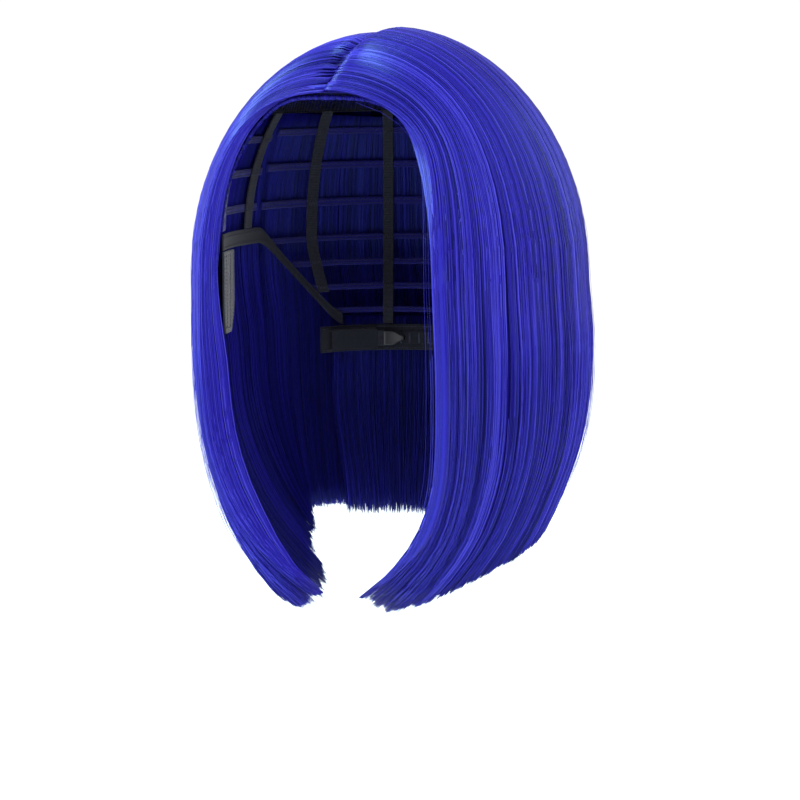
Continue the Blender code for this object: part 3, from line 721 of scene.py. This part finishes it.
def build_hairline(seed):
    """Rolled edge over the forehead: short fibres wrapped slantwise round the piping."""
    r = np.random.default_rng(seed)
    core_az = np.linspace(-59.0, 59.0, 241)

    def centre(az):
        steep = smooth((np.abs(az) - 25.0) / 30.0)
        return cap_point(az - np.sign(az) * 2.6 * steep, front_edge(az) + 0.026 * (1 - steep), 1.0)

    line = centre(core_az)
    back = unit(centre(core_az) - np.array([0, 0, -CAP_HALF[2]]))
    # the piping's core takes the darker hair colour: painted shade
    core = tubes("core", line[None], np.array([[0.8]]), back[None], SHADED_HAIR, np.array([0.3]), 6)
    count = 520
    az = np.sort(r.uniform(-58.8, 58.8, count))[:, None]
    turn = np.linspace(-0.15, 1.15, 10)[None] * np.pi * 1.25 - 0.7
    slant = np.where(np.arange(count) % 2, 1.0, -1.0)[:, None] * 0.55
    at = az + slant * np.linspace(-1, 1, 10)[None]
    mid, ahead = centre(at), centre(at + 0.05)
    run = unit(ahead - mid)
    out = unit(mid - np.array([0, 0, -CAP_HALF[2]]))
    side_way = unit(np.cross(run, out))
    radius = 0.95 + 0.12 * r.uniform(-1, 1, (count, 1))
    ring = np.cos(turn)[..., None] * out + np.sin(turn)[..., None] * side_way
    wraps = tubes("wraps", mid + ring * radius[..., None], 0.17, ring, BLUE, r.uniform(0.1, 0.8, count), 4)
    place(join("hairline_roll", [core, wraps]), "cap", "front_edge", "front_piping")


# Cap pieces

SHEET_EDGE = 0.45  # radius that rounds a sheet's edges
THREAD_RADIUS, STITCH_FILL = 0.14, 0.42
NET_LINES, NET_STEPS, NET_RADIUS, RIM_RADIUS = 94, 44, 0.22, 0.42
RIB_WIDTH, WEFT_WIDTH = 6.0, 2.9


def soft_edge(u, width):
    """How much of the sheet's thickness is left near its edges, width being the whole width."""
    d = np.minimum(u, 1 - u) * width
    return 0.25 + 0.75 * np.sqrt(1 - (1 - np.clip(d / SHEET_EDGE, 0, 1)) ** 2)


def grid_steps(width, pitch):
    """Places across a sheet: close together at its edges, and every pitch between."""
    edge = np.array([0.0, 0.12, 0.4, 1.0]) * SHEET_EDGE / width
    inner = np.linspace(edge[-1], 1 - edge[-1], max(2, int(width / pitch) + 1))
    return np.concatenate([edge[:-1], inner, 1 - edge[-2::-1]])


def sheet(name, at, size, pitch, material, relief=None):
    """Closed strip or sheet of size (width, length): at(u, v, w) places it, and relief thickens it."""
    u, v = grid_steps(size[0], pitch[0])[:, None], grid_steps(size[1], pitch[1])[None]
    inner, outer = at(u, v, 0.0 * (u + v)), at(u, v, 1.0 + 0.0 * (u + v))
    keep = soft_edge(u, size[0]) * soft_edge(v, size[1])
    if relief is not None:
        keep = keep * (1 + relief(u * size[0], v * size[1]))
    mid, half = (inner + outer) / 2, (outer - inner) / 2
    uv = points(u * size[0] / 10, v * size[1] / 10)
    return sheet_mesh(name, mid - half * keep[..., None], mid + half * keep[..., None], uv, material)


def stitches(at, start, end, pitch, thick, swing=(0.0, 0.0), faces=(0,)):
    """Thread along a straight line of the sheet's u, v; swing makes it zigzag."""
    s = np.linspace(0, 1, 80)
    run = at(lerp(start[0], end[0], s), lerp(start[1], end[1], s), 0 * s)
    count = max(2, int(np.linalg.norm(np.diff(run, axis=0), axis=1).sum() / pitch))
    shape = np.array([-1.0, -0.7, 0.0, 0.7, 1.0])
    rise = np.array([-0.12, 0.10, 0.15, 0.10, -0.12]) / thick
    centre = ((np.arange(count) + 0.5) / count)[:, None]
    s = centre + STITCH_FILL / count * shape
    sway = np.where(np.arange(count) % 2, 1.0, -1.0)[:, None] * shape
    u, v = (lerp(start[k], end[k], s) + swing[k] * sway for k in (0, 1))
    made = []
    for face in faces:
        w = 1 + rise if face else -rise
        line = at(u, v, w + 0 * u)
        out = unit(at(u, v, 1.0 + 0 * u) - at(u, v, 0 * u)) * (1 if face else -1)
        made.append(tubes("stitches", line, THREAD_RADIUS, out, THREAD, None, 4, CLOTH_UVS))
    return made


def net_edge(az):
    """Level of the net's rim: behind the front band, and level round the back."""
    return np.minimum(NET_LEVEL, front_edge(np.minimum(FRONT_END[0], np.abs(az))) - 0.088)


def build_net():
    """Diamond net of twisted thread over the crown, with a corded rim."""

    def at(u, v, lift):
        x, y = 2 * u - 1, 2 * v - 1
        dx, dy = x * np.sqrt(1 - y * y / 2), y * np.sqrt(1 - x * x / 2)
        az = np.degrees(np.arctan2(dx, -dy))
        return cap_point(az, np.minimum(1.0, np.hypot(dx, dy)) * net_edge(az), lift)

    c = (np.arange(NET_LINES) + 0.5) / NET_LINES * 2
    low, high = np.maximum(0, c - 1), np.minimum(1, c)
    s = np.linspace(0, 1, NET_STEPS)[None]
    u = lerp(low[:, None], high[:, None], s)
    made = []
    for v, lift in ((c[:, None] - u, 0.3), (1 - (c[:, None] - u), 0.55)):
        line = at(u, v, lift + 0 * u)
        out = unit(line + np.array([0, 0, CAP_HALF[2]]))
        made.append(tubes("threads", line, NET_RADIUS, out, NET, None, 4, CLOTH_UVS))
    turn = np.linspace(0, 2 * np.pi, 241)
    x, y = np.cos(turn), np.sin(turn)
    az = np.degrees(np.arctan2(x, -y))
    rim = cap_point(az, net_edge(az), 0.4 + 0 * az)
    out = unit(rim + np.array([0, 0, CAP_HALF[2]]))
    made.append(tubes("rim", rim[None], RIM_RADIUS, out[None], NET, None, 6, CLOTH_UVS))
    net = place(join("crown_netting", made), "cap", "cap_net", "crown_net")


def build_parting_cloth():
    """Backing of the part, with the two rows that hold the pleated roots."""

    def at(u, v, w):
        x = lerp(-13.0, 13.0, u)
        return crown_point(x, lerp(-57.0 + 0.012 * x * x, 27.0 - 0.02 * x * x, v), lerp(1.35, 2.05, w))

    cloth = sheet("parting_cloth", at, (26.0, 87.0), (1.2, 1.2), BACKING)
    place(cloth, "cap", "parting_base", "parting_strip")
    rows = []
    for u in (0.42, 0.58):
        rows += stitches(at, (u, 0.02), (u, 0.98), 1.4, 0.7, faces=(0, 1))
    place(join("parting_stitches", rows), "cap", "parting_base")


def build_front_band():
    """Folded band that follows the front edge and turns down the temples."""

    def at(u, v, w):
        az = lerp(-59.5, 59.5, v)
        steep = smooth((np.abs(az) - 25.0) / 30.0)
        inward = np.sign(az) * 7.0 * u * steep
        return cap_point(az + inward, front_edge(az) - 0.075 * u * (1 - steep), 0.9 * w)

    band = sheet("front_band_cloth", at, (11.0, 205.0), (0.8, 1.4), EDGE)
    place(band, "cap", "front_edge", "front_band")
    rows = []
    for u in (0.14, 0.86):
        rows += stitches(at, (u, 0.004), (u, 0.996), 1.9, 0.9)
    place(join("front_band_stitches", rows), "cap", "front_edge")


def binding_level(az):
    return 0.998 + 0.40 * smooth((az - 94.0) / 34.0)


def build_ear_pieces(word, side):
    def binding(u, v, w):
        az = lerp(*BINDING_AZ, v)
        return mirror(cap_point(az, binding_level(az) + lerp(-0.030, 0.030, u), 0.9 * w), side)

    def tab(u, v, w, share=1.0, lift=(0.0, 1.0), length=(0.0, 1.0)):
        v = lerp(*length, v)
        width = share * np.sqrt(1 - 0.75 * np.maximum(0.0, (v - 0.55) / 0.45) ** 2)
        mid, half = sum(EAR_TAB_AZ) / 2, (EAR_TAB_AZ[1] - EAR_TAB_AZ[0]) / 2
        az = mid + half * width * (2 * u - 1)
        return mirror(cap_point(az, lerp(*EAR_TAB_LEVEL, v), lerp(*lift, w)), side)

    def stay(u, v, w):
        return tab(u, v, w, share=0.26, lift=(1.35, 2.05), length=(0.06, 0.88))

    tape = sheet("tape", binding, (6.6, 108.0), (0.8, 0.8), BAND,
                 lambda a, b: 0.10 * np.cos(2 * np.pi * b / 2.4))
    rows = stitches(binding, (0.2, 0.01), (0.2, 0.99), 2.0, 0.9)
    rows += stitches(binding, (0.8, 0.01), (0.8, 0.99), 2.0, 0.9)
    place(join(f"ear_binding_tape_{word}", [tape, *rows]), "cap", "cap_band", f"ear_binding_{word}")

    flap = f"ear_flap_{word}"
    felt = sheet(f"ear_tab_felt_{word}", tab, (20.5, 40.0), (0.8, 0.8), FELT)
    place(felt, flap, "cap_felt", f"ear_tab_{word}")
    rows = []
    for u in (0.07, 0.32, 0.68, 0.93):
        rows += stitches(tab, (u, 0.04), (u, 0.93), 1.8, 1.0, faces=(0, 1))
    rows += stitches(tab, (0.08, 0.93), (0.92, 0.93), 1.8, 1.0, faces=(0, 1))
    place(join(f"ear_tab_stitches_{word}", rows), flap, "cap_felt")
    strip = sheet(f"ear_stay_strip_{word}", stay, (5.2, 32.8), (0.6, 1.5), STAY)
    place(strip, flap, "stay", f"ear_stay_{word}")


def build_rib(name, az, levels, weft_levels, node):
    def at(u, v, w):
        level = lerp(*levels, v)
        p = head_point(az, level)
        reach = np.hypot(p[..., 0], p[..., 1] - NAPE_CENTRE_Y * smooth(level - 1.0))
        return cap_point(az + np.degrees(RIB_WIDTH / reach) * (u - 0.5), level, 0.8 * w)

    s = np.linspace(0, 1, 60)
    length = np.linalg.norm(np.diff(at(0.5 + 0 * s, s, 0 * s), axis=0), axis=1).sum()
    tape = sheet("tape", at, (RIB_WIDTH, length), (0.6, 0.45), ELASTIC,
                 lambda a, b: 0.10 * np.cos(2 * np.pi * b / 1.8) + 0.12 * np.cos(2 * np.pi * a / 1.0))
    rows = []
    for level in weft_levels:
        v = (level - levels[0]) / (levels[1] - levels[0])
        if 0.02 < v < 0.98:
            rows += stitches(at, (0.1, v), (0.9, v), 0.9, 0.8, swing=(0.0, 1.1 / length))
    place(join(name, [tape, *rows]), "cap", "elastic", node)


def build_ribs():
    start = NET_LEVEL - 0.003
    for i, az in enumerate(RIB_AZ):
        end = 1.275 if abs(az - 180.0) > 50.0 else 1.429  # the ear binding, or the nape band
        build_rib(f"back_elastic_{i + 1}", az, (start, end), BACK_WEFT_LEVELS, f"back_rib_{i + 1}")
    for word, side in SIDES:
        levels = (start, 0.966)
        build_rib(f"side_elastic_{word}", 88.0 * side, levels, SIDE_WEFT_LEVELS, f"side_rib_{word}")


def build_weft(name, level, start, end, node):
    """Ribbon of gathered roots with two rows of machine stitches."""

    def at(u, v, w):
        return cap_point(lerp(start, end, v), level + lerp(-0.013, 0.013, u), lerp(1.4, 2.6, w))

    s = np.linspace(0, 1, 90)
    length = np.linalg.norm(np.diff(at(0.5 + 0 * s, s, 0 * s), axis=0), axis=1).sum()
    ribbon = sheet("ribbon", at, (WEFT_WIDTH, length), (0.7, 0.42), RIBBON,
                   lambda a, b: 0.16 * np.cos(2 * np.pi * b / 1.25) * np.cos(0.3 * b) ** 2)
    rows = stitches(at, (0.3, 0.002), (0.3, 0.998), 1.5, 1.2, swing=(0.12, 0.0))
    rows += stitches(at, (0.75, 0.002), (0.75, 0.998), 1.5, 1.2)
    place(join(name, [ribbon, *rows]), "cap", "weft_ribbon", node)


def build_wefts():
    for i, level in enumerate(BACK_WEFT_LEVELS):
        start = 97.0 + max(0.0, level - 1.0) / 0.4 * 28.0
        build_weft(f"back_track_{i + 1}", level, start, 360.0 - start, f"back_weft_{i + 1}")
    for word, side in SIDES:
        for i, level in enumerate(SIDE_WEFT_LEVELS):
            near = (50.0 + 6.5 * i) * side
            build_weft(f"side_track_{word}_{i + 1}", level, near, 94.0 * side, f"side_weft_{word}_{i + 1}")


def build_nape_band():
    def at(u, v, w):
        arc = lerp(-NAPE_BAND_ARC, NAPE_BAND_ARC, v)
        return nape_point(arc, lerp(59.8, 61.0, w), lerp(*NAPE_BAND_Z, u))

    band = sheet("nape_band_cloth", at, (13.4, 139.0), (0.8, 0.9), BAND)
    place(band, "cap", "cap_band", "nape_band")
    rows = []
    for u in (0.09, 0.91):
        rows += stitches(at, (u, 0.004), (u, 0.996), 2.0, 1.2, faces=(0, 1))
    place(join("nape_band_stitches", rows), "cap", "cap_band")


def build_adjuster(word, side):
    mid_z = sum(STRAP_Z) / 2

    def tunnel(u, v, w):
        """Channel open toward the band: flange, web, flange."""
        fold = np.clip(np.minimum(u, 1 - u) * 4.5, 0, 1)
        height = np.clip((u * 4.5 - 1) / 2.5, 0, 1)
        wall = 0.6 * (1 - w)
        radius = lerp(59.4, 56.0 + 0.6 * w, fold)
        z = lerp(STRAP_Z[0] - 0.5 - wall, STRAP_Z[1] + 0.5 + wall, height)
        return mirror(nape_point(lerp(*TUNNEL_ARC, v), radius, z), side)

    def strap(u, v, w):
        return mirror(nape_point(lerp(*STRAP_ARC, v), lerp(*STRAP_R, w), lerp(*STRAP_Z, u)), side)

    back, front = HOOK_R
    centre, bend = (back + front) / 2, (front - back) / 2
    tip = HOOK_ARC[0] + 0.7
    path = [(HOOK_ARC[1], back), (30.0, back), (27.0, back), (25.0, back), (23.6, back)]
    path += [(tip - bend * math.sin(a), centre - bend * math.cos(a)) for a in (0.5, 1.0, 1.57, 2.14, 2.64)]
    path += [(23.6, front), (24.8, front), (26.2, front)]
    path = np.array(path)
    tall = np.array([7.2, 7.6, 7.0, 4.4, 2.7, 2.4, 2.4, 2.4, 2.4, 2.4, 2.3, 2.1, 1.8])

    def hook(u, v, w):
        """Flat plate behind the strap's end that narrows to a prong folded back on itself."""
        u, v, w = np.broadcast_arrays(u, v, w)
        x, k = v * (len(path) - 1), np.arange(len(path))
        arc, radius, height = (np.interp(x, k, row) for row in (path[:, 0], path[:, 1], tall))
        run = np.gradient(path, axis=0)
        run[:, 0] *= np.radians(1.0) * NAPE_RADIUS
        run = run / np.linalg.norm(run, axis=1, keepdims=True)
        run_arc, run_r = np.interp(x, k, run[:, 0]), np.interp(x, k, run[:, 1])
        off = HOOK_PLATE * (w - 0.5)
        arc = arc + np.degrees(run_r * off / NAPE_RADIUS)
        return mirror(nape_point(arc, radius - run_arc * off, mid_z + height * (u - 0.5)), side)

    def tape(u, v, w):
        return mirror(nape_point(lerp(*LOOP_ARC, v), lerp(59.15, 59.5, w), lerp(-152.6, -146.0, u)), side)

    body = f"strap_{word}"
    casing = sheet("casing", tunnel, (14.0, 26.5), (0.35, 0.8), BAND)
    rows = []
    for u in (0.06, 0.94):
        rows += stitches(tunnel, (u, 0.02), (u, 0.98), 1.8, 0.6)
    place(join(f"strap_casing_{word}", [casing, *rows]), "cap", "cap_band", f"strap_tunnel_{word}")
    elastic = sheet("elastic", strap, (8.0, 29.3), (0.5, 0.4), ELASTIC,
                    lambda a, b: 0.10 * np.cos(2 * np.pi * b / 1.6) + 0.10 * np.cos(2 * np.pi * a / 1.0))
    rows = []
    for v in (0.06, 0.14):
        rows += stitches(strap, (0.1, v), (0.9, v), 0.9, 1.0)
    place(join(f"elastic_strap_{word}", [elastic, *rows]), body, "elastic", f"adjuster_strap_{word}")
    plate = sheet(f"plastic_hook_{word}", hook, (6.0, 16.0), (0.6, 0.35), PLASTIC)
    place(plate, body, "hook_plastic", f"adjuster_hook_{word}")

    base = sheet("base", tape, (6.6, 19.7), (0.5, 0.5), BAND)
    bars = []
    for i in range(5):
        arc = LOOP_ARC[0] + (LOOP_ARC[1] - LOOP_ARC[0]) * i / 4
        arc = min(max(arc, LOOP_ARC[0] + 0.4), LOOP_ARC[1] - 0.4)
        z = np.linspace(-152.4, -146.2, 9)
        bow = 58.75 + 0.45 * (np.abs(z - mid_z) / 3.1) ** 3
        for shift in (-0.28, 0.0, 0.28):
            line = mirror(nape_point(arc + shift, bow, z), side)[None]
            out = mirror(nape_point(arc, 0 * z + 50.0, z) - nape_point(arc, 0 * z + 60.0, z), side)[None]
            bars.append(tubes("bar", line, 0.17, out, THREAD, None, 5, CLOTH_UVS))
    place(join(f"loop_tape_{word}", [base, *bars]), "cap", "cap_band", f"hook_loops_{word}")


build_net()
build_parting_cloth()
build_front_band()
build_ribs()
build_wefts()
build_nape_band()
build_hairline(9)
for word, side in SIDES:
    build_ear_pieces(word, side)
    build_adjuster(word, side)
for (word, side), seed in zip(SIDES, (100, 500)):
    both = (Locks(seed + 1, BROAD_LOCK), Locks(seed + 2, FINE_LOCK))
    build_outer(word, side, seed, both)
    build_under(word, side, seed + 200, both)
    build_nape(word, side, seed + 300)

# Stage, light and camera


def area_light(name, place_at, target, size, power, colour=(1.0, 1.0, 1.0)):
    data = bpy.data.lights.new(name, "AREA")
    data.color = colour
    data.shape = "RECTANGLE"
    data.size, data.size_y = size
    data.energy = power
    obj = bpy.data.objects.new(name, data)
    scene.collection.objects.link(obj)
    obj.location = place_at
    obj.rotation_euler = (Vector(target) - Vector(place_at)).to_track_quat("-Z", "Y").to_euler()


def build_stage():
    """Wide pale floor whose far edge meets a sky of the same brightness."""
    mesh = bpy.data.meshes.new("floor")
    size, z = 60.0, -0.42
    corners = [(-size, -size, z), (size, -size, z), (size, size, z), (-size, size, z)]
    mesh.from_pydata(corners, [], [(0, 1, 2, 3)])
    floor = bpy.data.objects.new("floor", mesh)
    scene.collection.objects.link(floor)
    mat, _, _ = node_material("floor_paint", 0.95, 0.1, (0.96, 0.96, 0.96))
    mesh.materials.append(mat)
    world = bpy.data.worlds.new("studio")
    scene.world = world
    world.use_nodes = True
    sky = world.node_tree.nodes["Background"]
    sky.inputs["Color"].default_value = (1.0, 1.0, 1.0, 1)
    sky.inputs["Strength"].default_value = 1.05


def build_camera():
    azimuth, elevation, distance = math.radians(25.0), math.radians(8.0), 1.25
    aim = Vector((0.0068 * math.cos(azimuth), 0.0068 * math.sin(azimuth), -0.172))
    flat = math.cos(elevation)
    away = Vector((math.sin(azimuth) * flat, -math.cos(azimuth) * flat, math.sin(elevation)))
    data = bpy.data.cameras.new("camera")
    data.lens, data.sensor_width = 115.0, 36.0
    cam = bpy.data.objects.new("camera", data)
    scene.collection.objects.link(cam)
    cam.location = aim + away * distance
    cam.rotation_euler = (-away).to_track_quat("-Z", "Y").to_euler()
    scene.camera = cam


build_stage()
build_camera()
COOL = (0.62, 0.92, 1.0)
area_light("key", (1.4, -0.9, 0.9), (0, 0, -0.1), (0.35, 1.2), 16)
area_light("fill", (-1.5, -0.5, 0.5), (0, 0, -0.12), (0.4, 1.2), 30, COOL)
area_light("top", (-0.3, -0.35, 1.5), (0, 0, 0), (0.9, 0.25), 23, COOL)
area_light("rim", (1.2, 1.3, 0.5), (0, 0, -0.1), (0.6, 1.2), 5, (0.55, 0.72, 1.0))
